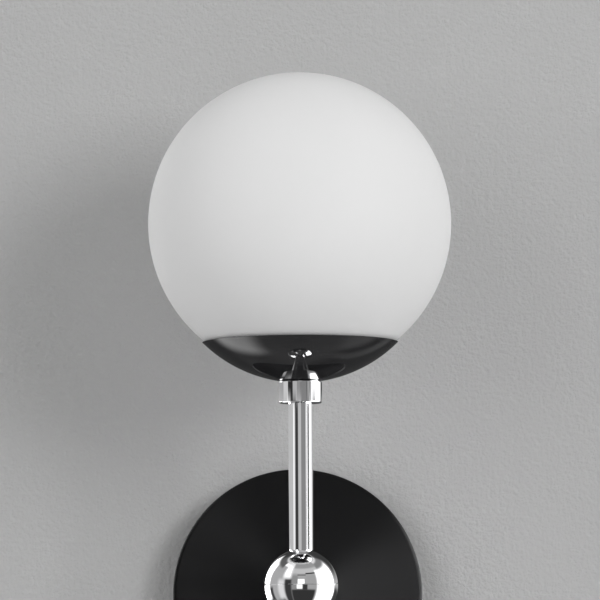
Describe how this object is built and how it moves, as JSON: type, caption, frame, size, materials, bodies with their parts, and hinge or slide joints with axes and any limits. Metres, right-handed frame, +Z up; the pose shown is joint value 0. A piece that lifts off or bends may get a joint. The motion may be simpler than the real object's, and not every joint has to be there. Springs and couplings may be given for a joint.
{
  "type": "globe wall sconce",
  "caption": "Wall light with an opal glass globe in a polished dish, on a straight stem and ball knuckle over a round black backplate.",
  "frame": {"origin": "centre of the backplate on the wall plane, which is the middle of the crossbar's slots", "axes": "+Z up along the stem, -Y out of the wall towards the front, +Y into the wall, +X to the right seen from the front"},
  "size_m": [0.15, 0.185, 0.3192],
  "materials": {
    "zinc_plated_steel": "zinc plated, satin",
    "green_screw": "green lacquer",
    "satin_black": "satin black powder coat",
    "black_screw": "black oxide",
    "tinned_copper": "tin plated",
    "bushing_plastic": "moulded",
    "polished_chrome": "mirror polished plating",
    "polished_black": "mirror polished black finish",
    "silicone": "soft translucent white",
    "spring_steel": "hardened, bright",
    "rivet_steel": "plain",
    "white_ceramic": "unglazed steatite",
    "contact_brass": "bright",
    "black_wire": "smooth insulation",
    "white_wire": "smooth insulation",
    "connector_plastic": "moulded with fine ribs",
    "green_wire": "smooth insulation",
    "opal_glass": "white opal, satin etched",
    "white_plastic": "moulded",
    "pin_steel": "bright",
    "frosted_glass": "frosted"
  },
  "bodies": {
    "fixture": {"mounting_crossbar": "zinc_plated_steel", "ground_screw": "green_screw", "backplate": "satin_black", "rim_screws": "black_screw", "arm_washer": "zinc_plated_steel", "earth_terminal": "tinned_copper", "arm_tooth_washer": "zinc_plated_steel", "arm_locknut": "zinc_plated_steel", "arm_rear_nipple": "zinc_plated_steel", "arm_bushing": "bushing_plastic", "arm_tube": "polished_chrome", "arm_front_nipple": "zinc_plated_steel", "knuckle_ball": "polished_chrome", "stem_lower_nipple": "zinc_plated_steel", "stem_tube": "polished_chrome", "stem_upper_nipple": "zinc_plated_steel", "stem_collar": "polished_chrome", "globe_dish": "polished_black", "globe_gasket": "silicone", "dish_spacer": "zinc_plated_steel", "spring_carrier": "zinc_plated_steel", "globe_springs": "spring_steel", "spring_rivets": "rivet_steel", "holder_bracket": "zinc_plated_steel", "dish_tooth_washer": "zinc_plated_steel", "dish_locknut": "zinc_plated_steel", "stem_bushing": "bushing_plastic", "lampholder": "white_ceramic", "holder_contacts": "contact_brass", "holder_screws": "zinc_plated_steel", "live_lead": "black_wire", "neutral_lead": "white_wire", "wire_connectors": "connector_plastic", "earth_lead": "green_wire"},
    "globe": {"glass_globe": "opal_glass"},
    "lamp": {"lamp_base": "white_plastic", "lamp_pins": "pin_steel", "lamp_glass": "frosted_glass"}
  },
  "joints": [
    {"name": "globe_lift", "type": "slide", "parent": "fixture", "child": "globe", "axis": [0, 0, 1], "range_m": [0, 0.08]},
    {"name": "lamp_pull", "type": "slide", "parent": "fixture", "child": "lamp", "axis": [0, 0, 1], "range_m": [0, 0.02]}
  ]
}
